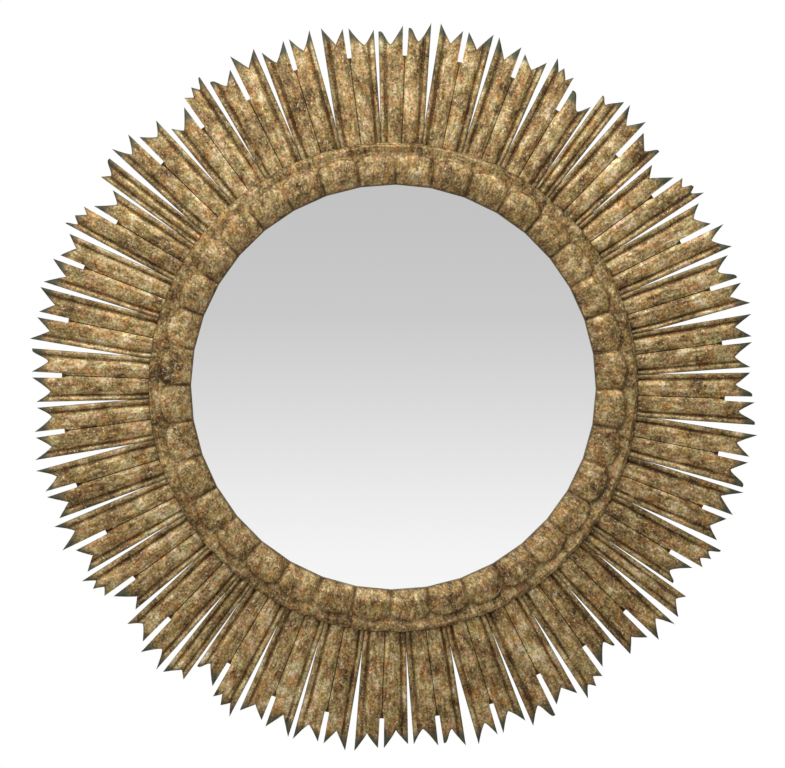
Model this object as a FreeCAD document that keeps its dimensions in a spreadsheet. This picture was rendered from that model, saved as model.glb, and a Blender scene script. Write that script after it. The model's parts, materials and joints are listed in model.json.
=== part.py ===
"""A sunburst wall mirror, one metre class, built as a bench assembly.

Flat silvered glass sits in a rebate behind a gilt ring of rounded lappets. Forty gilt wooden slats,
carved with seventy-six swallow-tailed rays, stand on a plywood carrier ring. A spacer board, a
hardboard back and six turn buttons hold the glass from behind. Two strap hangers with loose D-rings
take the hooks, and four rubber bumpers keep the hardware off the wall.

The glass faces -Y and the wall is the plane Y = 0. +Z is up and the origin is the centre of the wall plane.
Angles are clockwise from twelve o'clock, seen from the front, in degrees. Lengths are millimetres.
"""

import FreeCAD, Part
import math
import os
import Sketcher

DIMENSIONS = {
    # depth stations, measured from the wall towards the room
    "bumper_depth": 6.0,
    "carrier_depth": 12.0,
    "backing_depth": 3.0,
    "spacer_depth": 5.0,
    "glass_depth": 4.0,
    "slat_depth": 12.0,
    "tip_depth": 8.5,
    "tuck_depth": 13.0,
    "ring_lip": 6.0,
    "ring_crest": 24.5,
    "ring_shoulder": 17.0,
    # radii
    "sight_radius": 255.0,
    "glass_radius": 268.0,
    "rebate_radius": 270.0,
    "carrier_radius": 335.0,
    "ring_radius": 308.0,
    "ring_foot": 298.0,
    "lappet_top": 295.0,
    "lappet_crest": 275.0,
    "slat_root": 298.5,
    "slat_spring": 338.0,
    "slat_reach": 466.0,
    "slot_floor": 417.5,
    "deep_slot_floor": 405.0,
    # rays and slats
    "first_quadrant": 35.5,
    "single_wedge": 3.8,
    "pairs_in_quadrant": 9.0,
    "hairline": 0.15,
    "single_left_tip": 15.0,
    "single_right_tip": 12.5,
    "slot_half_floor": 2.8,
    "slot_half_mouth": 3.9,
    # half widths at the tips of the two slats that meet at each joint of a quadrant's pairs
    "tip_half_0": 32.5,
    "tip_half_1": 34.8,
    "tip_half_2": 35.0,
    "tip_half_3": 34.9,
    "tip_half_4": 31.4,
    "tip_half_5": 35.1,
    "tip_half_6": 33.2,
    "tip_half_7": 35.5,
    "tip_half_8": 34.1,
    "tip_half_9": 35.0,
    # lappets
    "lappet_count": 36.0,
    "lappet_start": 0.6,
    "valley_half": 2.4,
    "valley_depth": 13.0,
    "spandrel_depth": 6.0,
    "arch_rise": 15.0,
    "cove_width": 3.0,
    "cove_sink": 2.0,
    "fillet_rise": 1.0,
    "fillet_slope": 2.5,
    "fillet_width": 3.5,
    "rim_edge_rise": 1.0,
    # how far cutters run past what they cut
    "overrun": 1.0,
    "slat_overrun": 2.0,
    "tip_waste": 6.0,
    "tip_margin": 8.0,
    # fasteners
    "slat_screw_circle": 322.0,
    "slat_screw_length": 17.0,
    "ring_screw_circle": 290.0,
    "ring_screw_count": 12.0,
    "ring_screw_length": 24.0,
    "shank_radius": 1.7,
    "head_radius": 3.2,
    "head_depth": 1.8,
    "screw_taper": 2.0,
    "recess_arm": 1.9,
    "recess_half": 0.45,
    "recess_depth": 1.1,
    "pilot_clearance": 0.05,
    # turn buttons
    "button_count": 6.0,
    "button_first": 30.0,
    "button_circle": 282.0,
    "button_reach": 22.0,
    "button_tail": 7.0,
    "button_half_width": 6.0,
    "button_thickness": 1.6,
    "button_lift": 0.1,
    "button_neck": 2.2,
    "button_bore": 2.25,
    # strap hangers and their D-rings
    "strap_pivot_x": 268.0,
    "strap_height": 110.0,
    "strap_length": 30.0,
    "strap_width": 15.0,
    "strap_gauge": 1.2,
    "barrel_radius": 2.78,
    "strap_hole_near": 10.0,
    "strap_hole_far": 25.0,
    "dring_wire": 1.5,
    "dring_half_height": 10.5,
    "dring_corner": 3.5,
    "dring_shoulder": 8.0,
    # bumpers
    "bumper_circle": 305.0,
    "bumper_radius": 9.0,
    "bumper_tip_radius": 6.5,
    "bumper_first": 45.0,
}

QUADRANTS = 4


class Size:
    """A length or angle that carries its number and the sheet formula that gives it."""

    def __init__(self, number, formula):
        self.number = number
        self.formula = formula

    @staticmethod
    def of(value):
        return value if isinstance(value, Size) else Size(float(value), repr(float(value)))

    def join(self, other, sign, number):
        return Size(number, f"({self.formula} {sign} {Size.of(other).formula})")

    def __add__(self, other):
        return self.join(other, "+", self.number + Size.of(other).number)

    def __sub__(self, other):
        return self.join(other, "-", self.number - Size.of(other).number)

    def __mul__(self, other):
        return self.join(other, "*", self.number * Size.of(other).number)

    def __truediv__(self, other):
        return self.join(other, "/", self.number / Size.of(other).number)

    def __neg__(self):
        return Size(-self.number, f"(-1 * {self.formula})")

    def __radd__(self, other):
        return Size.of(other) + self

    def __rsub__(self, other):
        return Size.of(other) - self

    def __rmul__(self, other):
        return Size.of(other) * self

    def __rtruediv__(self, other):
        return Size.of(other) / self


def sine(angle):
    angle = Size.of(angle)
    return Size(math.sin(math.radians(angle.number)), f"sin({angle.formula})")


def cosine(angle):
    angle = Size.of(angle)
    return Size(math.cos(math.radians(angle.number)), f"cos({angle.formula})")


def tangent(angle):
    angle = Size.of(angle)
    return Size(math.tan(math.radians(angle.number)), f"tan({angle.formula})")


def other_leg(hypotenuse, leg):
    """The remaining side of a right-angled triangle."""
    square = Size.of(hypotenuse) * hypotenuse - Size.of(leg) * leg
    return Size(math.sqrt(square.number), f"sqrt({square.formula})")


doc = FreeCAD.newDocument("SunburstMirror")
sheet = doc.addObject("Spreadsheet::Sheet", "Sizes")
for row, (alias, number) in enumerate(DIMENSIONS.items(), start=1):
    sheet.set(f"A{row}", alias)
    sheet.set(f"B{row}", str(number))
    sheet.setAlias(f"B{row}", alias)
doc.recompute()


class Sizes:
    """Sizes.name is the sheet's cell of that name."""


for alias, number in DIMENSIONS.items():
    setattr(Sizes, alias, Size(number, f"Sizes.{alias}"))

# Depth stations along Y, negative towards the room.
CARRIER_BACK = -Sizes.bumper_depth
CARRIER_FRONT = CARRIER_BACK - Sizes.carrier_depth
GLASS_BACK = CARRIER_FRONT + Sizes.glass_depth
SPACER_BACK = GLASS_BACK + Sizes.spacer_depth

PAIR_WEDGE = (90 - Sizes.single_wedge) / Sizes.pairs_in_quadrant
PAIR_NUMBERS = range(1, int(Sizes.pairs_in_quadrant.number) + 1)

nodes = []  # the documents' objects that become sub-parts


def node(item, name):
    """Names an object as a finished sub-part."""
    item.Label = name
    nodes.append(item)
    return item


def body_called(name):
    return doc.addObject("PartDesign::Body", name)


def sketch_on(body, role, name, offset=None):
    """A sketch on one of a body's origin planes, lifted along the plane's normal by offset."""
    sketch = body.newObject("Sketcher::SketchObject", name)
    plane = next(f for f in body.Origin.OriginFeatures if f.Role == role)
    sketch.AttachmentSupport = (plane, "")
    sketch.MapMode = "FlatFace"
    if offset is not None:
        sketch.setExpression("AttachmentOffset.Base.z", offset.formula)
        sketch.AttachmentOffset = FreeCAD.Placement(
            FreeCAD.Vector(0, 0, offset.number), FreeCAD.Rotation()
        )
    return sketch


def pin_point(sketch, edge, end, point):
    """Fixes one end of an edge at a point by two dimensions bound to the sheet."""
    for kind, axis in (("DistanceX", 0), ("DistanceY", 1)):
        place = Size.of(point[axis])
        index = sketch.addConstraint(Sketcher.Constraint(kind, -1, 1, edge, end, place.number))
        sketch.setExpression(f"Constraints[{index}]", place.formula)


def vector(point):
    """A sketch point as plain numbers."""
    return FreeCAD.Vector(Size.of(point[0]).number, Size.of(point[1]).number, 0)


def edge_ends(sketch, index, start):
    """Which end numbers of an edge lie at its start and at its finish. Arcs may run backwards."""
    near = sketch.getPoint(index, 1).distanceToPoint(start)
    far = sketch.getPoint(index, 2).distanceToPoint(start)
    return (1, 2) if near <= far else (2, 1)


def draw_outline(sketch, points, bulges=None):
    """A closed outline through points. bulges gives the middle point of the arc that leaves a point."""
    bulges = bulges or {}
    count = len(points)
    flat = [vector(point) for point in points]
    for i, start in enumerate(flat):
        finish = flat[(i + 1) % count]
        if i in bulges:
            edge = Part.Arc(start, vector(bulges[i]), finish)
        else:
            edge = Part.LineSegment(start, finish)
        sketch.addGeometry(edge, False)
    ends = [edge_ends(sketch, i, start) for i, start in enumerate(flat)]
    for i, point in enumerate(points):
        following = (i + 1) % count
        join = Sketcher.Constraint("Coincident", i, ends[i][1], following, ends[following][0])
        sketch.addConstraint(join)
        pin_point(sketch, i, ends[i][0], point)
    for i, middle in bulges.items():
        mark = sketch.addGeometry(Part.Point(vector(middle)), True)
        pin_point(sketch, mark, 1, middle)
        sketch.addConstraint(Sketcher.Constraint("PointOnObject", mark, 1, i))


def draw_circle(sketch, centre, radius):
    """A circle whose centre and radius are bound to the sheet."""
    x, y = (Size.of(part).number for part in centre)
    radius = Size.of(radius)
    index = sketch.addGeometry(
        Part.Circle(FreeCAD.Vector(x, y, 0), FreeCAD.Vector(0, 0, 1), radius.number), False
    )
    pin_point(sketch, index, 3, centre)
    constraint = sketch.addConstraint(Sketcher.Constraint("Radius", index, radius.number))
    sketch.setExpression(f"Constraints[{constraint}]", radius.formula)


def extrude(body, kind, sketch, length, name, reverse=False):
    """A Pad or Pocket of a sketch, bound to the sheet."""
    feature = body.newObject(f"PartDesign::{kind}", name)
    feature.Profile = sketch
    feature.Type = 0
    feature.Length = Size.of(length).number
    feature.setExpression("Length", Size.of(length).formula)
    feature.Reversed = reverse
    body.Tip = feature
    return feature


def revolve(body, sketch, axis, name):
    feature = body.newObject("PartDesign::Revolution", name)
    feature.Profile = sketch
    feature.ReferenceAxis = (sketch, [axis])
    feature.Angle = 360
    body.Tip = feature
    return feature


def repeat(body, feature, count, name):
    """Turns copies of a feature evenly round the mirror's centre."""
    pattern = body.newObject("PartDesign::PolarPattern", name)
    pattern.Originals = [feature]
    axis = next(f for f in body.Origin.OriginFeatures if f.Role == "Y_Axis")
    pattern.Axis = (axis, [""])
    pattern.Angle = 360
    pattern.Occurrences = int(Size.of(count).number)
    pattern.setExpression("Occurrences", Size.of(count).formula)
    body.Tip = pattern
    return pattern


def turn(item, angle):
    """Turns an object from twelve o'clock to its place on the clock face."""
    angle = Size.of(angle)
    item.Placement = FreeCAD.Placement(
        FreeCAD.Vector(0, 0, 0), FreeCAD.Rotation(FreeCAD.Vector(0, 1, 0), angle.number)
    )
    item.setExpression("Placement.Rotation.Angle", angle.formula)
    return item


def on_circle(radius, angle):
    """The point of the front view at a radius and a clock angle."""
    return radius * sine(angle), radius * cosine(angle)


def copies(master, name, placements):
    """One sub-part made of separate, identical solids."""
    group = doc.addObject("Part::Feature", name)
    doc.recompute()
    solids = []
    for placement in placements:
        solid = master.Shape.Solids[0].copy()
        solid.Placement = placement.multiply(solid.Placement)
        solids.append(solid)
    group.Shape = Part.makeCompound(solids)
    return node(group, name)


def clock_placement(radius, angle, depth):
    """Puts a piece that was made along Y at the origin on a circle at a clock angle and a depth."""
    x, z = on_circle(Size.of(radius), angle)
    spin = FreeCAD.Rotation(FreeCAD.Vector(0, 1, 0), Size.of(angle).number)
    return FreeCAD.Placement(FreeCAD.Vector(x.number, Size.of(depth).number, z.number), spin)


# ---------------------------------------------------------------- discs and rings


def make_disc(name, radius, back, depth):
    """A flat round plate whose back face is at the station back."""
    body = body_called(name)
    sketch = sketch_on(body, "XZ_Plane", name + "_outline", -back)
    draw_circle(sketch, (0, 0), radius)
    extrude(body, "Pad", sketch, depth, name + "_plate")
    return node(body, name)


def ray_angles():
    """Clock angle of each ray's middle, from the start of its quadrant."""
    angles = [Sizes.single_wedge / 2]
    for pair in PAIR_NUMBERS:
        for share in (0.25, 0.75):
            angles.append(Sizes.single_wedge + PAIR_WEDGE * (pair - 1 + share))
    return angles


def strap_holes():
    """Places of the hanger screws on the front view, for the right strap and the left one."""
    places = []
    for side in (1, -1):
        for along in (Sizes.strap_hole_near, Sizes.strap_hole_far):
            places.append((side * (Sizes.strap_pivot_x + along), Sizes.strap_height))
    return places


def make_carrier_ring():
    """The plywood ring that everything is screwed to, with its pilot holes."""
    name = "carrier_ring"
    body = body_called(name)
    outline = sketch_on(body, "XZ_Plane", name + "_outline", -CARRIER_BACK)
    draw_circle(outline, (0, 0), Sizes.carrier_radius)
    draw_circle(outline, (0, 0), Sizes.rebate_radius)
    extrude(body, "Pad", outline, Sizes.carrier_depth, name + "_plate")
    pilot = Sizes.shank_radius + Sizes.pilot_clearance
    quadrant = sketch_on(body, "XZ_Plane", name + "_slat_pilots", -CARRIER_BACK)
    for angle in ray_angles():
        draw_circle(quadrant, on_circle(Sizes.slat_screw_circle, Sizes.first_quadrant + angle), pilot)
    drilled = extrude(body, "Pocket", quadrant, Sizes.carrier_depth, name + "_slat_holes", reverse=True)
    repeat(body, drilled, QUADRANTS, name + "_slat_hole_pattern")
    ring = sketch_on(body, "XZ_Plane", name + "_ring_pilot", -CARRIER_BACK)
    draw_circle(ring, on_circle(Sizes.ring_screw_circle, ring_screw_angle(0)), pilot)
    drilled = extrude(body, "Pocket", ring, Sizes.carrier_depth, name + "_ring_hole", reverse=True)
    repeat(body, drilled, Sizes.ring_screw_count, name + "_ring_hole_pattern")
    button = sketch_on(body, "XZ_Plane", name + "_button_pilot", -CARRIER_BACK)
    draw_circle(button, on_circle(Sizes.button_circle, Sizes.button_first), pilot)
    drilled = extrude(body, "Pocket", button, Sizes.carrier_depth, name + "_button_hole", reverse=True)
    repeat(body, drilled, Sizes.button_count, name + "_button_hole_pattern")
    strap = sketch_on(body, "XZ_Plane", name + "_strap_pilots", -CARRIER_BACK)
    for place in strap_holes():
        draw_circle(strap, place, pilot)
    extrude(body, "Pocket", strap, Sizes.carrier_depth, name + "_strap_holes", reverse=True)
    return node(body, name)


def ring_screw_angle(index):
    """Clock angle of a lappet ring screw, each in the middle of a lappet."""
    return Sizes.lappet_start + 360 / Sizes.ring_screw_count * (index + 0.5)


# Middle point of a spandrel's curved side: shares of the half chord and of the arch's rise.
ARCH_SWELL = (0.35, 0.72)
SPANDREL_HALF = 0.8  # share of the half chord that a spandrel takes at the top


def make_lappet_ring():
    """The gilt ring round the sight edge: a crowned band cut into lappets, a cove and a raised fillet."""
    name = "lappet_ring"
    body = body_called(name)
    profile = sketch_on(body, "YZ_Plane", name + "_profile")
    back = CARRIER_FRONT
    tuck = back - Sizes.tuck_depth
    shoulder = back - Sizes.ring_shoulder
    crest = back - Sizes.ring_crest
    cove = Sizes.lappet_top + Sizes.cove_width
    fillet = cove + Sizes.fillet_slope
    fillet_top = shoulder - Sizes.fillet_rise
    points = [
        (back, Sizes.sight_radius),
        (back - Sizes.ring_lip, Sizes.sight_radius),
        (shoulder, Sizes.lappet_top),
        (shoulder + Sizes.cove_sink, cove),
        (fillet_top, fillet),
        (fillet_top, fillet + Sizes.fillet_width),
        (tuck - Sizes.rim_edge_rise, Sizes.ring_radius),
        (tuck, Sizes.ring_radius),
        (tuck, Sizes.ring_foot),
        (back, Sizes.ring_foot),
    ]
    draw_outline(profile, points, {1: (crest, Sizes.lappet_crest)})
    revolve(body, profile, "H_Axis", name + "_band")
    lappet_angle = 360 / Sizes.lappet_count
    # The valley between two lappets, seen along the radius at twelve o'clock.
    valley = sketch_on(body, "XY_Plane", name + "_valley_outline")
    floor = crest + Sizes.valley_depth
    mouth = crest - Sizes.overrun
    draw_outline(valley, [(-Sizes.valley_half, mouth), (0, floor), (Sizes.valley_half, mouth)])
    cut = extrude(body, "Pocket", valley, Sizes.lappet_top, name + "_valley", reverse=True)
    repeat(body, cut, Sizes.lappet_count, name + "_valleys")
    # The spandrel that rounds the shoulders of two neighbouring lappets.
    spandrel = sketch_on(body, "XZ_Plane", name + "_spandrel_outline", -(shoulder + Sizes.overrun))
    spring = Sizes.lappet_top - Sizes.arch_rise
    half_chord = Sizes.lappet_top * sine(lappet_angle / 2)
    inset = Sizes.lappet_top * cosine(lappet_angle / 2)
    swell = (half_chord * ARCH_SWELL[0], spring + (inset - spring) * ARCH_SWELL[1])
    corner = half_chord * SPANDREL_HALF
    top = Sizes.lappet_top - Sizes.overrun / 2
    points = [(0, spring), (corner, top), (-corner, top)]
    bulges = {0: swell, 1: (0, Sizes.lappet_top + Sizes.overrun), 2: (-swell[0], swell[1])}
    draw_outline(spandrel, points, bulges)
    cut = extrude(body, "Pocket", spandrel, Sizes.spandrel_depth, name + "_spandrel", reverse=False)
    cut.Midplane = True
    repeat(body, cut, Sizes.lappet_count, name + "_spandrels")
    pilot = sketch_on(body, "XZ_Plane", name + "_pilot", -CARRIER_FRONT)
    draw_circle(
        pilot,
        on_circle(Sizes.ring_screw_circle, ring_screw_angle(0) - Sizes.lappet_start),
        Sizes.shank_radius + Sizes.pilot_clearance,
    )
    reach = Sizes.ring_screw_length - Sizes.carrier_depth + Sizes.overrun
    cut = extrude(body, "Pocket", pilot, reach, name + "_pilot_hole", reverse=True)
    repeat(body, cut, Sizes.ring_screw_count, name + "_pilot_holes")
    return node(turn(body, Sizes.lappet_start), name)


# ---------------------------------------------------------------- carved slats

# Carved section of a pair's ray: place across it from the slat's edge to its middle, and height as a
# share of the slat's thickness. A quirk runs beside the edge bead and the crown fills the rest.
PAIR_SECTION = [
    (0.05, 0.78),
    (0.16, 0.84),
    (0.27, 0.64),
    (0.38, 0.92),
    (0.62, 1.00),
    (0.86, 0.92),
    (0.97, 0.80),
]
# The same for a single, from edge to edge.
SINGLE_SECTION = [
    (0.06, 0.80),
    (0.18, 0.84),
    (0.29, 0.66),
    (0.40, 0.95),
    (0.50, 1.00),
    (0.60, 0.95),
    (0.71, 0.66),
    (0.82, 0.84),
    (0.94, 0.80),
]
EDGE_HEIGHT = 0.55

# How each kind of ray ends: (place across the ray, radius of the point there) from edge to edge.
TIP_CUTS = {
    "long": [(0, 465), (0.45, 441), (1, 462)],
    "even": [(0, 461), (0.48, 435), (1, 458)],
    "short": [(0, 450), (0.52, 434), (1, 450)],
    "rising": [(0, 453), (0.47, 434), (1, 458)],
    "falling": [(0, 457), (0.53, 433), (1, 452)],
    "deep_rising": [(0, 430), (0.37, 417), (1, 441)],
    "deep_falling": [(0, 441), (0.58, 418), (1, 432)],
    "stair_up": [(0, 450), (0.28, 443), (0.5, 456), (0.72, 448), (1, 463)],
    "stair_down": [(0, 464), (0.26, 448), (0.5, 456), (0.70, 443), (1, 451)],
    "narrow": [(0, 454), (0.38, 445), (1, 462)],
}
# The two rays of each pair from the start of a quadrant, each with how far its end is moved out.
PAIR_CUTS = [
    (("long", 0), ("short", 0)),
    (("deep_rising", 0), ("stair_up", 0)),
    (("short", 0), ("long", 0)),
    (("rising", 0), ("rising", 5)),
    (("falling", 4), ("falling", -1)),
    (("rising", -2), ("rising", 3)),
    (("falling", 6), ("rising", 4)),
    (("even", 0), ("short", 2)),
    (("stair_down", 0), ("deep_falling", 0)),
]
SINGLE_CUT = ("narrow", 0)
DEEP_SLOTS = (1, 2, 3, 9)  # pairs whose sawn slot runs further in


def carved_section(thickness, left, right, rays):
    """Section of a slat across the rays, as (across, depth) points from its left edge to its right one."""
    front = CARRIER_FRONT
    if rays == 1:
        carving = [((left + right) * across - left, height) for across, height in SINGLE_SECTION]
    else:
        carving = [(left * across - left, height) for across, height in PAIR_SECTION]
        carving.append((0, EDGE_HEIGHT))
        carving += [(right - right * across, height) for across, height in reversed(PAIR_SECTION)]
    carving = [(-left, EDGE_HEIGHT), *carving, (right, EDGE_HEIGHT)]
    points = [(across, front - thickness * height) for across, height in carving]
    return [(-left, front), *points, (right, front)]


def make_slat_blank(name, wedge, left_tip, right_tip, rays):
    """An uncut slat at twelve o'clock: fitted to its neighbours near the ring and straight beyond."""
    body = body_called(name)
    half_angle = wedge / 2
    stations = []
    for radius in (Sizes.slat_root, Sizes.slat_spring):
        half = radius * tangent(half_angle) - Sizes.hairline
        stations.append((radius, Sizes.slat_depth, half, half))
    stations.append((Sizes.slat_reach, Sizes.tip_depth, left_tip, right_tip))
    sketches = []
    for i, (radius, thickness, left, right) in enumerate(stations):
        sketch = sketch_on(body, "XY_Plane", f"{name}_section_{i}", radius)
        draw_outline(sketch, carved_section(thickness, left, right, rays))
        sketches.append(sketch)
    loft = body.newObject("PartDesign::AdditiveLoft", name + "_loft")
    loft.Profile = sketches[0]
    loft.Sections = sketches[1:]
    loft.Ruled = True
    body.Tip = loft
    pilots = sketch_on(body, "XZ_Plane", name + "_pilots", -CARRIER_FRONT)
    middles = [0] if rays == 1 else [-wedge / 4, wedge / 4]
    for angle in middles:
        place = on_circle(Sizes.slat_screw_circle, angle)
        draw_circle(pilots, place, Sizes.shank_radius + Sizes.pilot_clearance)
    reach = Sizes.slat_screw_length - Sizes.carrier_depth + Sizes.overrun
    extrude(body, "Pocket", pilots, reach, name + "_pilot_holes", reverse=True)
    return body


def tip_points(cut, left, right):
    """The points of one ray's end between two places across the slat."""
    kind, moved_out = cut
    points = []
    for across, radius in TIP_CUTS[kind]:
        place = left + (right - left) * across
        points.append((place, other_leg(radius + moved_out, place)))
    return points


def make_tip_cutter(name, cuts, left_tip, right_tip, slot_floor=None):
    """The waste beyond the ends of a slat's rays, with the sawn slot between a pair."""
    body = body_called(name)
    sketch = sketch_on(body, "XZ_Plane", name + "_outline", -CARRIER_FRONT)
    waste = Sizes.slat_reach + Sizes.tip_waste
    if len(cuts) == 1:
        points = tip_points(cuts[0], -left_tip, right_tip)
    else:
        points = tip_points(cuts[0], -left_tip, -Sizes.slot_half_mouth)
        points.append((-Sizes.slot_half_floor, slot_floor))
        points.append((Sizes.slot_half_floor, slot_floor))
        points += tip_points(cuts[1], Sizes.slot_half_mouth, right_tip)
    (first, first_end), (last, last_end) = points[0], points[-1]
    left, right = first - Sizes.tip_margin, last + Sizes.tip_margin
    outline = [(left, waste), (left, first_end - Sizes.overrun)]
    outline += points
    outline += [(right, last_end - Sizes.overrun), (right, waste)]
    draw_outline(sketch, outline)
    extrude(body, "Pad", sketch, (Sizes.slat_depth + Sizes.slat_overrun) * 2, name + "_waste").Midplane = True
    return body


def make_slat(name, blank, cutter, angle):
    slat = doc.addObject("Part::Cut", name)
    slat.Base = blank
    slat.Tool = cutter
    turn(slat, angle)
    return node(slat, name)


def make_slats():
    """Forty slats: in each quadrant a narrow single, then nine pairs."""
    single_halves = (Sizes.single_left_tip, Sizes.single_right_tip)
    single_blank = make_slat_blank("single_blank", Sizes.single_wedge, *single_halves, 1)
    single_cutter = make_tip_cutter("single_cutter", [SINGLE_CUT], *single_halves)
    pair_tools = []
    for pair in PAIR_NUMBERS:
        halves = tuple(getattr(Sizes, f"tip_half_{joint}") for joint in (pair - 1, pair))
        floor = Sizes.deep_slot_floor if pair in DEEP_SLOTS else Sizes.slot_floor
        blank = make_slat_blank(f"pair_blank_{pair}", PAIR_WEDGE, *halves, 2)
        cutter = make_tip_cutter(f"pair_cutter_{pair}", PAIR_CUTS[pair - 1], *halves, floor)
        pair_tools.append((blank, cutter))
    for quadrant in range(QUADRANTS):
        start = Sizes.first_quadrant + 90 * quadrant
        middle = start + Sizes.single_wedge / 2
        make_slat(f"ray_single_{quadrant + 1}", single_blank, single_cutter, middle)
        for pair in PAIR_NUMBERS:
            number = quadrant * len(PAIR_NUMBERS) + pair
            middle = start + Sizes.single_wedge + PAIR_WEDGE * (pair - 0.5)
            make_slat(f"ray_pair_{number:02d}", *pair_tools[pair - 1], middle)


# ---------------------------------------------------------------- fasteners and hardware


PAN_FLAT = 0.6  # share of a head's radius that is flat
PAN_RIM = 0.35  # share of a head's depth at which its side begins to slope
BLUNT_POINT = 0.3  # share of the shank left at the point


def make_screw_master(name, length, neck=0):
    """A cross-recessed pan-head screw whose head sits behind the plane it holds, pointing into the room."""
    body = body_called(name)
    sketch = sketch_on(body, "YZ_Plane", name + "_profile")
    tip = -Size.of(length)
    points = [
        (Sizes.head_depth, 0),
        (Sizes.head_depth, Sizes.head_radius * PAN_FLAT),
        (Sizes.head_depth * PAN_RIM, Sizes.head_radius),
        (0, Sizes.head_radius),
    ]
    if neck:
        shoulder = -(Sizes.button_thickness + Sizes.button_lift * 2)
        points += [(0, Sizes.button_neck), (shoulder, Sizes.button_neck), (shoulder, Sizes.shank_radius)]
    else:
        points += [(0, Sizes.shank_radius)]
    point = Sizes.shank_radius * BLUNT_POINT
    points += [(tip + Sizes.screw_taper, Sizes.shank_radius), (tip, point), (tip, 0)]
    draw_outline(sketch, points)
    revolve(body, sketch, "H_Axis", name + "_turned")
    recess = sketch_on(body, "XZ_Plane", name + "_recess_outline", -Sizes.head_depth)
    arm, half = Sizes.recess_arm, Sizes.recess_half
    corners = [(half, arm), (half, half), (arm, half)]
    cross = corners + [(x, -z) for x, z in reversed(corners)]
    cross += [(-x, -z) for x, z in corners] + [(-x, z) for x, z in reversed(corners)]
    draw_outline(recess, cross)
    extrude(body, "Pocket", recess, Sizes.recess_depth, name + "_recess", reverse=True)
    return body


def make_screws():
    slat_screw = make_screw_master("slat_screw_master", Sizes.slat_screw_length)
    places = []
    for quadrant in range(QUADRANTS):
        for angle in ray_angles():
            whole = Sizes.first_quadrant + 90 * quadrant + angle
            places.append(clock_placement(Sizes.slat_screw_circle, whole, CARRIER_BACK))
    copies(slat_screw, "slat_screws", places)
    ring_screw = make_screw_master("ring_screw_master", Sizes.ring_screw_length)
    places = [
        clock_placement(Sizes.ring_screw_circle, ring_screw_angle(i), CARRIER_BACK)
        for i in range(int(Sizes.ring_screw_count.number))
    ]
    copies(ring_screw, "ring_screws", places)
    button_screw = make_screw_master("button_screw_master", Sizes.carrier_depth, neck=1)
    head_seat = CARRIER_BACK + Sizes.button_thickness + Sizes.button_lift * 2
    places = [
        clock_placement(Sizes.button_circle, button_angle(i), head_seat)
        for i in range(int(Sizes.button_count.number))
    ]
    copies(button_screw, "button_screws", places)
    strap_screw = make_screw_master("strap_screw_master", Sizes.carrier_depth)
    seat = (CARRIER_BACK + Sizes.strap_gauge).number
    places = [
        FreeCAD.Placement(FreeCAD.Vector(x.number, seat, z.number), FreeCAD.Rotation())
        for x, z in strap_holes()
    ]
    copies(strap_screw, "hanger_screws", places)


def button_angle(index):
    return Sizes.button_first + 360 / Sizes.button_count * index


def make_turn_buttons():
    """Six flat steel buttons that hold the backing board and turn on their screws."""
    for i in range(int(Sizes.button_count.number)):
        name = f"turn_button_{i + 1}"
        body = body_called(name)
        sketch = sketch_on(body, "XZ_Plane", name + "_outline", -(CARRIER_BACK + Sizes.button_lift))
        half = Sizes.button_half_width
        inner = Sizes.button_circle - Sizes.button_reach + half
        outer = Sizes.button_circle + Sizes.button_tail - half
        points = [(-half, inner), (half, inner), (half, outer), (-half, outer)]
        draw_outline(sketch, points, {0: (0, inner - half), 2: (0, outer + half)})
        draw_circle(sketch, (0, Sizes.button_circle), Sizes.button_bore)
        extrude(body, "Pad", sketch, Sizes.button_thickness, name + "_plate", reverse=True)
        node(turn(body, button_angle(i)), name)


def make_strap_hanger(name, side):
    """A steel strap rolled into a barrel at its inner end. side is 1 on the right and -1 on the left."""
    body = body_called(name)
    bottom = Sizes.strap_height - Sizes.strap_width / 2
    sketch = sketch_on(body, "XY_Plane", name + "_section", bottom)
    pivot = side * Sizes.strap_pivot_x
    end = side * (Sizes.strap_pivot_x + Sizes.strap_length)
    back = CARRIER_BACK
    face = back + Sizes.strap_gauge
    barrel = Sizes.barrel_radius
    bore = barrel - Sizes.strap_gauge
    rise = other_leg(barrel, bore)
    points = [(pivot, back), (end, back), (end, face), (pivot + side * rise, face)]
    # The barrel's far side, on the line at a 3-4-5 slope from its centre.
    far_side = (pivot - side * barrel * 0.6, back + barrel * 1.8)
    draw_outline(sketch, points, {3: far_side})
    draw_circle(sketch, (pivot, back + barrel), bore)
    extrude(body, "Pad", sketch, Sizes.strap_width, name + "_plate")
    holes = sketch_on(body, "XZ_Plane", name + "_holes_outline", -back)
    for along in (Sizes.strap_hole_near, Sizes.strap_hole_far):
        place = (side * (Sizes.strap_pivot_x + along), Sizes.strap_height)
        draw_circle(holes, place, Sizes.shank_radius + Sizes.pilot_clearance)
    extrude(body, "Pocket", holes, Sizes.strap_gauge, name + "_holes")
    return node(body, name)


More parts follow.
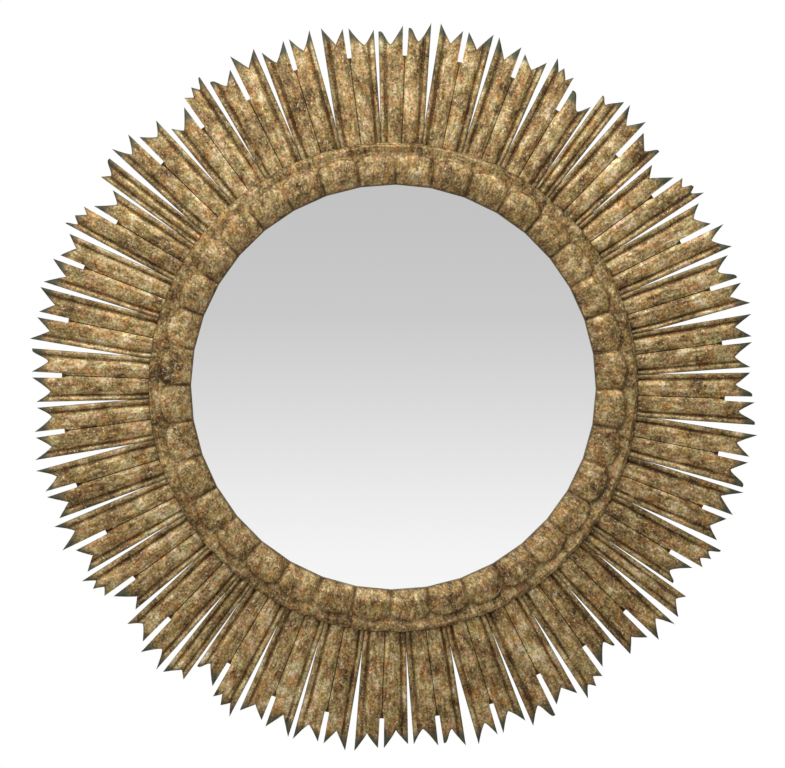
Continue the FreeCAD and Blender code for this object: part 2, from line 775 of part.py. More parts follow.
def make_dring(name, side):
    """A bent-wire D-ring through the barrel, lying towards the middle of the mirror."""
    body = body_called(name)
    axis_depth = CARRIER_BACK + Sizes.barrel_radius
    spine = sketch_on(body, "XZ_Plane", name + "_spine", -axis_depth)
    pivot = side * Sizes.strap_pivot_x
    high = Sizes.strap_height + Sizes.dring_half_height
    low = Sizes.strap_height - Sizes.dring_half_height
    corner = Sizes.dring_corner
    bend = corner * (1 - math.sqrt(0.5))
    shoulder = pivot - side * Sizes.dring_shoulder
    points = [
        (pivot, low + corner),
        (pivot, high - corner),
        (pivot - side * corner, high),
        (shoulder, high),
        (shoulder, low),
        (pivot - side * corner, low),
    ]
    bulges = {
        1: (pivot - side * bend, high - bend),
        3: (shoulder - side * Sizes.dring_half_height, Sizes.strap_height),
        5: (pivot - side * bend, low + bend),
    }
    draw_outline(spine, points, bulges)
    section = sketch_on(body, "XY_Plane", name + "_wire", Sizes.strap_height)
    draw_circle(section, (pivot, axis_depth), Sizes.dring_wire)
    pipe = body.newObject("PartDesign::AdditivePipe", name + "_pipe")
    pipe.Profile = section
    pipe.Spine = (spine, [f"Edge{i + 1}" for i in range(len(points))])
    body.Tip = pipe
    return node(body, name)


BUMPER_BAND = 0.3  # share of a bumper's depth that stays at its full radius
BUMPER_ROUND = (0.8, 0.4)  # middle of its rounded side: shares of the depth and of the narrowing


def make_bumpers():
    """Four tapered rubber bumpers that keep the hardware off the wall."""
    master = body_called("bumper_master")
    sketch = sketch_on(master, "YZ_Plane", "bumper_profile")
    depth, base, tip = Sizes.bumper_depth, Sizes.bumper_radius, Sizes.bumper_tip_radius
    points = [(0, 0), (0, base), (depth * BUMPER_BAND, base), (depth, tip), (depth, 0)]
    round_depth, round_in = BUMPER_ROUND
    draw_outline(sketch, points, {2: (depth * round_depth, base - (base - tip) * round_in)})
    revolve(master, sketch, "H_Axis", "bumper_turned")
    places = [
        clock_placement(Sizes.bumper_circle, Sizes.bumper_first + 90 * i, CARRIER_BACK)
        for i in range(QUADRANTS)
    ]
    copies(master, "wall_bumpers", places)


def write_parts():
    """Checks every object, then writes one STEP file for each sub-part."""
    doc.recompute()
    for item in doc.Objects:
        faults = [state for state in item.State if state in ("Invalid", "Error")]
        if faults:
            raise RuntimeError(f"{item.Name} is {faults}")
    os.makedirs("parts", exist_ok=True)
    for item in nodes:
        shape = item.Shape
        if shape.isNull() or not shape.isValid() or not shape.Solids:
            raise RuntimeError(f"{item.Label} has no valid solid")
    for item in nodes:
        item.Shape.exportStep(os.path.join("parts", item.Label + ".step"))
        print(f"{item.Label}: {len(item.Shape.Solids)} solids, {item.Shape.Volume / 1000:.2f} cm3")
    print(len(nodes), "nodes")


make_disc("mirror_glass", Sizes.glass_radius, GLASS_BACK, Sizes.glass_depth)
make_disc("spacer_board", Sizes.glass_radius, SPACER_BACK, Sizes.spacer_depth)
make_disc("backing_board", Sizes.glass_radius, CARRIER_BACK, Sizes.backing_depth)
make_carrier_ring()
make_lappet_ring()
make_slats()
make_screws()
make_turn_buttons()
for side_name, side in (("right", 1), ("left", -1)):
    make_strap_hanger(f"hanger_strap_{side_name}", side)
    make_dring(f"hanger_dring_{side_name}", side)
make_bumpers()
write_parts()
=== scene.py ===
"""Carved giltwood sunburst mirror: forty hand-cut slats and a ring of lappets round a flat silvered glass."""

import json
import math
import random

import bmesh
import bpy
from mathutils import Euler, Matrix, Vector, noise


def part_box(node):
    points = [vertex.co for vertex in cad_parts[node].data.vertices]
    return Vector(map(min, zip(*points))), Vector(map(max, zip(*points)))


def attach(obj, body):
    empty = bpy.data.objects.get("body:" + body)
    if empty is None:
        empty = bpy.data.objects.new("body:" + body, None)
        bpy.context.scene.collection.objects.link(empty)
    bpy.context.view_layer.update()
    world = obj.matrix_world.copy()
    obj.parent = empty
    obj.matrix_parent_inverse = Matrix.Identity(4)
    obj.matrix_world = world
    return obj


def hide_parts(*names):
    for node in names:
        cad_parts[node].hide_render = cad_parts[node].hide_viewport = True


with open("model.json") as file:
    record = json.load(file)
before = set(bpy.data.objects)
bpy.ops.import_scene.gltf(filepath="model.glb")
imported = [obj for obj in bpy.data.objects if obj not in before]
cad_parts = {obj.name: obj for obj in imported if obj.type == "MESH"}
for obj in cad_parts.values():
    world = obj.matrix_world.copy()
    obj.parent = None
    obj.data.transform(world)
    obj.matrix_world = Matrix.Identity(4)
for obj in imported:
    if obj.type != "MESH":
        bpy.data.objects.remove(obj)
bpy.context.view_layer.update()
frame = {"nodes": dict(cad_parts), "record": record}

bl_info = {
    "name": "Sunburst Mirror",
    "version": (1, 0, 0),
    "blender": (4, 5, 0),
    "location": "View3D > Sidebar > Sunburst",
    "description": "Builds the carved rays, the lappet ring and the finishes of a giltwood sunburst mirror",
    "category": "Add Mesh",
}

MM = 0.001
QUADRANTS = 4
PAIRS_IN_QUADRANT = 9
LAPPETS = 36
FRAME_BODY = "frame"

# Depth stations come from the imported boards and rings. The room is towards -Y.
CARRIER_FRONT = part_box("carrier_ring")[0].y
RING_LOW, RING_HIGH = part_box("lappet_ring")
RING_RADIUS = RING_HIGH.x


# ---------------------------------------------------------------- sizes and colours


def length(name, description, default):
    """A length of the panel, in metres."""
    return bpy.props.FloatProperty(name=name, description=description, default=default, unit="LENGTH")


def share(name, description, default):
    """A plain number of the panel."""
    return bpy.props.FloatProperty(name=name, description=description, default=default)


def angle(name, description, degrees):
    """An angle of the panel, given in degrees and kept in radians."""
    return bpy.props.FloatProperty(
        name=name, description=description, default=math.radians(degrees), subtype="ANGLE"
    )


def paint(red, green, blue):
    """A screen colour of 0 to 255 as linear light."""
    return tuple((part / 255) ** 2.2 for part in (red, green, blue))


def colour(name, description, red, green, blue):
    """A colour of the panel."""
    return bpy.props.FloatVectorProperty(
        name=name, description=description, default=paint(red, green, blue), subtype="COLOR", min=0, max=1
    )


class SunburstRaySettings(bpy.types.PropertyGroup):
    """Sizes of the carved slats."""

    first_quadrant: angle("First quadrant", "Clock angle where the first quarter of the rays begins", 35.5)
    single_wedge: angle("Single's wedge", "Angle taken by the narrow ray that opens each quarter", 3.8)
    root: length("Root", "Radius where the slats start under the ring", 298.5 * MM)
    spring: length("Spring", "Radius out to which neighbouring slats touch", 338 * MM)
    reach: length("Reach", "Radius at which the widths of the tips are given", 466 * MM)
    slot_floor: length("Slot floor", "Radius of the bottom of most pairs' sawn slots", 417.5 * MM)
    deep_slot_floor: length("Deep slot floor", "Radius of the bottom of the deeper slots", 405 * MM)
    slot_half_root: length("Half groove", "Half the width of a pair's middle groove at the ring", 0.5 * MM)
    slot_half_floor: length("Half slot", "Half the width of the slot at its bottom", 2.8 * MM)
    slot_half_mouth: length("Half mouth", "Half the width of the slot at the tips", 3.9 * MM)
    hairline: length("Hairline", "Half the gap between slats that touch", 0.15 * MM)
    single_left_tip: length("Single's left half", "Left half width of a single at its tip", 15 * MM)
    single_right_tip: length("Single's right half", "Right half width of a single at its tip", 12.5 * MM)
    root_thickness: length("Thickness", "Thickness of a slat's crowns at the ring", 11.6 * MM)
    tip_thickness: length("Tip thickness", "Thickness of a slat's crowns at the tips", 8.3 * MM)
    mesh_step: length("Mesh step", "Spacing of the carved surface's rows", 1.05 * MM)
    unevenness: length("Unevenness", "How far the tips fall short of their pattern", 1.2 * MM)
    pit_pitch: length("Punch pitch", "Distance between punch marks in the quirks", 4.0 * MM)


class SunburstRingSettings(bpy.types.PropertyGroup):
    """Sizes of the lappet ring."""

    sight: length("Sight radius", "Radius of the visible glass", 255 * MM)
    lappet_top: length("Lappet top", "Radius of the tops of the lappets", 295 * MM)
    arch_spring: length("Arch spring", "Radius where the lappets' arched tops begin", 283 * MM)
    fillet: length("Fillet", "Radius of the raised fillet on the rim", 303.4 * MM)
    foot: length("Foot", "Radius of the rim's inner face behind the slats", 298 * MM)
    start: angle("Start", "Clock angle of the first valley between lappets", 0.6)
    rim_edge: length("Rim edge", "Depth of the rim's outer edge in front of the carrier", 13.5 * MM)
    pillow: length("Pillow", "How far the lappets stand out of their ground", 8.0 * MM)
    steps_per_lappet: bpy.props.IntProperty(
        name="Steps", description="Mesh steps across one lappet", default=26, min=8
    )


class SunburstFinishSettings(bpy.types.PropertyGroup):
    """Colours of the finishes."""

    leaf_pale: colour("Pale leaf", "Rubbed gold leaf on the crests", 238, 222, 188)
    leaf_gold: colour("Gold leaf", "Leaf in the light", 180, 156, 106)
    leaf_aged: colour("Aged leaf", "Leaf under old toning", 138, 114, 70)
    # The umber also colours the painted shade in the quirks, grooves, seams and along the glass.
    umber: colour("Umber", "Toning left in the hollows", 72, 50, 20)
    ochre_glaze: colour("Ochre glaze", "Filter of the yellow patches", 255, 243, 206)
    moss_glaze: colour("Moss glaze", "Filter of the green-grey patches", 230, 242, 228)
    mauve_glaze: colour("Mauve glaze", "Filter of the brown-violet patches", 244, 232, 244)
    bole_glaze: colour("Bole glaze", "Filter of the patches rubbed down to red clay", 255, 224, 200)
    # Painted shade: this grey darkens the tips, horns and sawn sides where they fall away from the light.
    painted_shade_grey: colour("Edge grey", "Dark grey of the sawn edges", 66, 70, 54)
    silver: colour("Silver", "Reflection of the glass", 250, 251, 250)
    plywood: colour("Plywood", "Face of the carrier ring", 196, 158, 108)
    hardboard: colour("Hardboard", "Face of the backing board", 112, 76, 50)
    card: colour("Card", "Corrugated spacer", 176, 146, 106)
    steel: colour("Steel", "Straps, rings and buttons", 190, 188, 182)
    zinc: colour("Zinc", "Passivated screws", 196, 182, 138)
    rubber: colour("Rubber", "Wall bumpers", 44, 42, 40)


class SunburstStageSettings(bpy.types.PropertyGroup):
    """The camera, the floor and the light."""

    camera_distance: length("Camera distance", "From the wall plane to the camera", 6.0)
    view_width: length("View width", "Width seen at the rays' face", 987 * MM)
    camera_right: length("Camera right", "Camera's place across", -1.1 * MM)
    camera_up: length("Camera up", "Camera's place above the middle of the mirror", 3.8 * MM)
    floor_drop: length("Floor drop", "From the middle of the mirror down to the floor", 1.4)
    floor_radius: length("Floor radius", "Radius of the floor", 2.6)
    room_light: share("Room light", "Brightness of the room round the mirror", 0.38)
    side_power: share("Side power", "Watts of the soft light on the left", 12.5)
    top_power: share("Top power", "Watts of the soft light above", 19.0)
    back_power: share("Back power", "Watts of the soft light behind", 24.0)


# ---------------------------------------------------------------- node networks


class Wire:
    """An output of a node. Arithmetic on it adds Math nodes to its network."""

    def __init__(self, network, socket):
        self.network = network
        self.socket = socket

    def math(self, operation, *values, clamp=False):
        settings = {"operation": operation, "use_clamp": clamp}
        return self.network.node("ShaderNodeMath", settings, dict(enumerate(values)))

    def __add__(self, other):
        return self.math("ADD", self, other)

    def __sub__(self, other):
        return self.math("SUBTRACT", self, other)

    def __mul__(self, other):
        return self.math("MULTIPLY", self, other)

    def __radd__(self, other):
        return self.math("ADD", other, self)

    def __rsub__(self, other):
        return self.math("SUBTRACT", other, self)

    def __rmul__(self, other):
        return self.math("MULTIPLY", other, self)

    def clamped(self):
        return self.math("ADD", self, 0.0, clamp=True)

    def between(self, low, high):
        """0 at low, 1 at high, straight between them. High may be the smaller of the two."""
        sockets = {"Value": self, "From Min": low, "From Max": high}
        return self.network.node("ShaderNodeMapRange", {"clamp": True}, sockets)


class Network:
    """Adds nodes to one node tree."""

    def __init__(self, tree):
        self.tree = tree

    def node(self, kind, settings=None, sockets=None, output=0):
        """Adds a node: its settings first, then the values or wires of its sockets."""
        made = self.tree.nodes.new(kind)
        for name, value in (settings or {}).items():
            if name == "stops":
                self.set_stops(made.color_ramp, value)
            else:
                setattr(made, name, value)
        for key, value in (sockets or {}).items():
            self.feed(made.inputs[key], value)
        return Wire(self, made.outputs[output])

    def feed(self, socket, value):
        if isinstance(value, Wire):
            self.tree.links.new(value.socket, socket)
        else:
            socket.default_value = value

    def set_stops(self, ramp, stops):
        while len(ramp.elements) < len(stops):
            ramp.elements.new(1.0)
        for element, (place, tint) in zip(ramp.elements, stops):
            element.position = place
            element.color = (*tint, 1.0)

    def mix(self, factor, first, second, blend="MIX"):
        """Blends two colours."""
        settings = {"data_type": "RGBA", "blend_type": blend, "clamp_result": True}
        first, second = (value if isinstance(value, Wire) else (*value, 1.0) for value in (first, second))
        return self.node("ShaderNodeMix", settings, {0: factor, 6: first, 7: second}, output=2)

    def stretch(self, vector, scale, shift=(0.0, 0.0, 0.0)):
        """Scales a vector by axis."""
        return self.node("ShaderNodeMapping", None, {"Vector": vector, "Scale": scale, "Location": shift})

    def cloud(self, vector, size, detail=3.0, roughness=0.55):
        """Soft noise with patches of about the size given, in metres."""
        sockets = {"Vector": vector, "Scale": 1 / size, "Detail": detail, "Roughness": roughness}
        return self.node("ShaderNodeTexNoise", {"noise_dimensions": "3D"}, sockets)

    def attribute(self, name, output):
        settings = {"attribute_name": name, "attribute_type": "GEOMETRY"}
        return self.node("ShaderNodeAttribute", settings, output=output)

    def object_place(self):
        return self.node("ShaderNodeTexCoord", output=3)


class Finish(Network):
    """A material with one Principled surface."""

    def __init__(self, name):
        self.material = bpy.data.materials.new(name)
        self.material.use_nodes = True
        super().__init__(self.material.node_tree)
        self.surface = self.tree.nodes["Principled BSDF"]

    def set(self, **sockets):
        """Feeds the surface: base_color=... sets Base Color."""
        for name, value in sockets.items():
            if isinstance(value, tuple):
                value = (*value, 1.0)
            self.feed(self.surface.inputs[name.replace("_", " ").title()], value)
        return self

    def relief(self, height, distance):
        """Bumps the surface by a height of 0 to 1 over a distance in metres."""
        bump = self.node("ShaderNodeBump", None, {"Height": height, "Distance": distance, "Strength": 1.0})
        return self.set(normal=bump)


def gilt(name, colours, darkness):
    """Antique gold leaf over red bole, toned with umber, glazed in patches and rubbed back on the crests,
    with painted shade in the hollows and painted grey shade over the tips, horns and sawn sides.
    """
    finish = Finish(name)
    grain = finish.attribute("grain", 1)
    hollow = finish.attribute("hollow", 2)
    edge = finish.attribute("edge", 2)
    fine = finish.cloud(grain, 3.0 * MM, 3.0, 0.65)
    streak = finish.cloud(finish.stretch(grain, (1.0, 1.0, 0.2)), 3.6 * MM, 3.0, 0.6)
    patch = finish.cloud(finish.stretch(grain, (1.0, 1.0, 0.7)), 11 * MM, 2.0, 0.6)
    broad = finish.cloud(finish.stretch(grain, (1.0, 1.0, 0.8), (0.2, 0.0, 0.4)), 42 * MM, 2.0)
    # The tone is lowered in the hollows: umber toning and painted shade.
    tone = fine * 1.5 + streak * 0.8 + patch * 1.2 + broad * 0.9 - hollow * 0.20 - (1.70 + darkness)
    leaf = finish.node(
        "ShaderNodeValToRGB",
        {
            "stops": [
                (0.04, colours.umber),
                (0.38, colours.leaf_aged),
                (0.64, colours.leaf_gold),
                (1.00, colours.leaf_pale),
            ]
        },
        {0: tone},
    )
    glazes = (
        (colours.ochre_glaze, (0.3, 0.0, 0.7)),
        (colours.moss_glaze, (0.9, 0.2, 0.1)),
        (colours.mauve_glaze, (0.5, 0.6, 0.0)),
        (colours.bole_glaze, (0.1, 0.4, 0.8)),
    )
    for glaze, shift in glazes:
        stain = finish.cloud(finish.stretch(grain, (1.0, 1.0, 0.6), shift), 9 * MM, 3.0, 0.6)
        leaf = finish.mix(stain.between(0.49, 0.63), leaf, glaze, "MULTIPLY")
    flecks = finish.cloud(finish.stretch(grain, (1.0, 1.0, 0.7), (0.6, 0.1, 0.2)), 2.4 * MM, 2.0, 0.7)
    # Pale flecks, fewer in the hollows, which deepens the painted shade there.
    leaf = finish.mix(flecks.between(0.60, 0.74) * (0.95 - hollow * 0.6), leaf, colours.leaf_pale)
    specks = finish.cloud(finish.stretch(grain, (1.0, 1.0, 0.8), (0.7, 0.9, 0.3)), 2.2 * MM, 2.0, 0.7)
    leaf = finish.mix(specks.between(0.42, 0.28) * 0.8, leaf, colours.umber)
    # Umber toning and painted shade in the quirks, grooves, punch marks, seams and along the glass.
    leaf = finish.mix((hollow * hollow * 0.5).clamped(), leaf, colours.umber)
    # Painted grey shade over the tips, horns and sawn sides, mottled.
    leaf = finish.mix((edge * (0.35 + fine * 1.0)).clamped(), leaf, colours.painted_shade_grey)
    bare = (edge * 0.6 + hollow * 0.5).clamped()
    finish.set(base_color=leaf, metallic=0.40 - bare * 0.35, roughness=0.40 + fine * 0.22 + bare * 0.18)
    return finish.relief(fine * 0.6 + flecks * 0.4, 0.45 * MM).material


def mirror(colours):
    """Silvered glass, clean, with the faintest haze."""
    finish = Finish("silvered_glass")
    haze = finish.cloud(finish.object_place(), 90 * MM, 2.0)
    tint = finish.mix(haze * 0.04, colours.silver, paint(236, 240, 238))
    return finish.set(base_color=tint, metallic=1.0, roughness=haze.between(0.5, 0.9) * 0.012).material


def plywood(colours):
    """Birch plywood: flame grain on the faces, and plies that show on the edges."""
    finish = Finish("birch_plywood")
    place = finish.object_place()
    grain = finish.cloud(finish.stretch(place, (1.0, 1.0, 0.07)), 7 * MM, 5.0, 0.6)
    figure = finish.cloud(finish.stretch(place, (1.0, 1.0, 0.2)), 60 * MM, 2.0)
    depth = finish.node("ShaderNodeSeparateXYZ", None, {0: place}, output=1)
    phase = depth * (2 * math.pi / (4.8 * MM))
    ply = phase.math("SINE", phase)
    dark = tuple(part * 0.42 for part in colours.plywood)
    face = finish.mix(grain.between(0.40, 0.66) * 0.55 + figure * 0.2, colours.plywood, dark)
    face = finish.mix(ply.between(0.1, 0.7) * 0.35, face, dark)
    scuffs = finish.cloud(place, 26 * MM, 5.0, 0.7)
    face = finish.mix(scuffs.between(0.58, 0.75) * 0.4, face, paint(92, 72, 50))
    finish.set(base_color=face, roughness=0.62 + grain * 0.2)
    return finish.relief(grain, 0.25 * MM).material


def hardboard(colours):
    """Pressed fibre with flecks and a faint screen mark."""
    finish = Finish("hardboard")
    place = finish.object_place()
    fibre = finish.cloud(place, 3 * MM, 5.0, 0.7)
    cloudy = finish.cloud(place, 70 * MM, 3.0)
    face = finish.mix(cloudy * 0.5, colours.hardboard, tuple(part * 0.6 for part in colours.hardboard))
    face = finish.mix(fibre.between(0.55, 0.7) * 0.45, face, paint(168, 124, 84))
    face = finish.mix(fibre.between(0.42, 0.3) * 0.5, face, paint(58, 36, 22))
    finish.set(base_color=face, roughness=0.55 + fibre * 0.25)
    return finish.relief(fibre, 0.2 * MM).material


def card(colours):
    """Brown card with long fibres."""
    finish = Finish("spacer_card")
    place = finish.object_place()
    fibre = finish.cloud(finish.stretch(place, (0.3, 1.0, 1.0)), 2 * MM, 4.0)
    face = finish.mix(fibre, colours.card, tuple(part * 0.55 for part in colours.card))
    return finish.set(base_color=face, roughness=0.9).relief(fibre, 0.1 * MM).material


def metal(name, tint, dull, brush, roughness):
    """Worked metal: brushed one way, dulled in patches and scratched."""
    finish = Finish(name)
    place = finish.object_place()
    strokes = finish.cloud(finish.stretch(place, brush), 0.9 * MM, 3.0)
    tarnish = finish.cloud(place, 6 * MM, 4.0, 0.65)
    scratches = finish.cloud(finish.stretch(place, (0.12, 1.0, 1.0), (0.3, 0.1, 0.2)), 0.6 * MM, 2.0, 0.7)
    face = finish.mix(tarnish.between(0.45, 0.72) * 0.65, tint, dull)
    face = finish.mix(scratches.between(0.64, 0.72) * 0.4, face, paint(235, 235, 230))
    finish.set(base_color=face, metallic=0.95, roughness=roughness + strokes * 0.16 + tarnish * 0.14)
    return finish.relief(strokes, 0.05 * MM).material


def rubber(colours):
    """Moulded rubber, dusty and faintly pebbled."""
    finish = Finish("bumper_rubber")
    place = finish.object_place()
    pebble = finish.cloud(place, 0.9 * MM, 2.0)
    dust = finish.cloud(place, 5 * MM, 4.0, 0.65)
    face = finish.mix(dust.between(0.48, 0.8) * 0.5, colours.rubber, paint(120, 114, 106))
    return finish.set(base_color=face, roughness=0.62 + pebble * 0.2).relief(pebble, 0.12 * MM).material


def pale_floor():
    """Smooth pale paint with the faintest cloudiness."""
    finish = Finish("pale_floor")
    cloudy = finish.cloud(finish.object_place(), 0.7, 2.0)
    face = finish.mix(cloudy * 0.3, paint(240, 239, 236), paint(228, 227, 224))
    return finish.set(base_color=face, roughness=0.7 + cloudy * 0.1).material


# ---------------------------------------------------------------- pieces


def smooth_share(low, high, value):
    """0 below low, 1 above high, and an eased step between them."""
    place = min(max((value - low) / (high - low), 0.0), 1.0)
    return place * place * (3 - 2 * place)


def ripple(x, y, z, size):
    """Smooth noise from -1 to 1 with features of about the size given."""
    return noise.noise(Vector((x, y, z)) / size)


def layered(marks, where):
    """Hand unevenness at a place, summed over its layers, in metres."""
    return sum(height * MM * ripple(*where, size * MM) for height, size in marks)


def finished_piece(name, bm, material, replaced, body=FRAME_BODY):
    """Turns a bmesh into a piece that rides on a body and stands for CAD nodes."""
    mesh = bpy.data.meshes.new(name)
    bm.to_mesh(mesh)
    bm.free()
    mesh.materials.append(material)
    piece = bpy.data.objects.new(name, mesh)
    bpy.context.scene.collection.objects.link(piece)
    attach(piece, body)
    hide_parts(*replaced)
    return piece


def gilding_layers(bm):
    """The vertex layers that the gilt finish reads: grain, the share of umber toning and painted shade, and
    the share of painted grey shade.
    """
    floats = bm.verts.layers.float
    return bm.verts.layers.float_vector.new("grain"), floats.new("hollow"), floats.new("edge")


# How each kind of ray ends: (place across the ray, radius of the point there) from edge to edge.
FORKS = {
    "long": [(0, 465), (0.45, 441), (1, 462)],
    "even": [(0, 461), (0.48, 435), (1, 458)],
    "short": [(0, 450), (0.52, 434), (1, 450)],
    "rising": [(0, 453), (0.47, 434), (1, 458)],
    "falling": [(0, 457), (0.53, 433), (1, 452)],
    "deep_rising": [(0, 430), (0.37, 417), (1, 441)],
    "deep_falling": [(0, 441), (0.58, 418), (1, 432)],
    "stair_up": [(0, 450), (0.28, 443), (0.5, 456), (0.72, 448), (1, 463)],
    "stair_down": [(0, 464), (0.26, 448), (0.5, 456), (0.70, 443), (1, 451)],
    "narrow": [(0, 454), (0.38, 445), (1, 462)],
}
# Half widths at the tips of the two slats that meet at each joint of a quarter's pairs, in mm.
TIP_HALVES = (32.5, 34.8, 35.0, 34.9, 31.4, 35.1, 33.2, 35.5, 34.1, 35.0)
DEEP_SLOTS = (0, 1, 2, 8)  # pairs whose sawn slot runs further in
# The two rays of each pair from the start of a quarter, each with how far its end is moved out.
PAIR_FORKS = [
    (("long", 0), ("short", 0)),
    (("deep_rising", 0), ("stair_up", 0)),
    (("short", 0), ("long", 0)),
    (("rising", 0), ("rising", 5)),
    (("falling", 4), ("falling", -1)),
    (("rising", -2), ("rising", 3)),
    (("falling", 6), ("rising", 4)),
    (("even", 0), ("short", 2)),
    (("stair_down", 0), ("deep_falling", 0)),
]
SINGLE_FORK = ("narrow", 0)

# Gouge marks on the slats: (height in mm, size in mm) of each layer.
GOUGE_MARKS = ((0.55, 19), (0.32, 6), (0.20, 2.6))
PIT_DEPTH = 0.6 * MM
PIT_SHARPNESS = 3.4  # the larger, the narrower a punch mark
TIP_BEVEL = 2.2 * MM  # how far the crowns are eased down at the very end
TIP_BEVEL_WIDTH = 2.0 * MM
HORN_THINNING = 1.6 * MM  # how much thinner the horns are cut
TIP_SHADE_REACH = 2.4 * MM  # how far the painted grey shade reaches in from the sawn ends
SIDE_SHADE_REACH = 1.2 * MM  # how far the painted grey shade reaches in from the sawn sides
BEAD = 0.20  # share of a ray's width taken by its edge bead
CROWN = 0.31  # where the broad crown begins
SUMMIT = 0.60  # where the crown is highest


class Fork:
    """The swallow tail of one ray: points across it, each strayed a little from the pattern."""

    def __init__(self, fork, strays, limit):
        kind, moved_out = fork
        self.points = []
        for across, radius in FORKS[kind]:
            inner = 0 < across < 1
            place = across + strays.uniform(-0.06, 0.06) * inner
            stray = strays.uniform(-1, 0) * limit
            self.points.append((place, (radius + moved_out) * MM + stray))
        self.notch = min(radius for _, radius in self.points)
        self.scoop = strays.uniform(0.85, 1.30)
        self.blunt = [strays.random() < 0.15 for _ in self.points]

    def radius(self, across):
        """Radius of the end at a place across the ray: cut back from each horn to its notch."""
        for i, ((x0, r0), (x1, r1)) in enumerate(zip(self.points, self.points[1:])):
            if across <= x1 or i == len(self.points) - 2:
                break
        climbing = r1 > r0
        low, high = min(r0, r1), max(r0, r1)
        share_up = (across - x0) / (x1 - x0) if climbing else (x1 - across) / (x1 - x0)
        share_up = min(max(share_up, 0.0), 1.0)
        blunt = self.blunt[i + 1] if climbing else self.blunt[i]
        if blunt:
            return low + (high - low) * smooth_share(0.0, 0.85, share_up) * 0.86
        return low + (high - low) * share_up**self.scoop

    def horn(self, radius):
        """0 at the deepest notch and 1 out on the horns."""
        return smooth_share(self.notch - 1 * MM, self.notch + 13 * MM, radius)


def moulding(inward):
    """Height of a ray's section at a share of its width from its outer edge, and how deep in the quirk."""
    if inward < BEAD:
        bead = math.sin(math.pi * (0.12 + 0.80 * inward / BEAD))
        return 0.68 + 0.18 * bead, 0.3 * smooth_share(0.8, 1.0, inward / BEAD)
    if inward < CROWN:
        dip = math.sin(math.pi * (inward - BEAD) / (CROWN - BEAD))
        return 0.75 - 0.20 * dip, 0.3 + 0.8 * dip
    rise = min((inward - CROWN) / (SUMMIT - CROWN), 1.0)
    fall = smooth_share(0.82, 1.0, inward)
    level = 0.76 + 0.24 * math.sin(rise * math.pi / 2) ** 0.8 - 0.14 * fall
    return level, 0.3 * (1 - smooth_share(0.0, 0.25, rise))


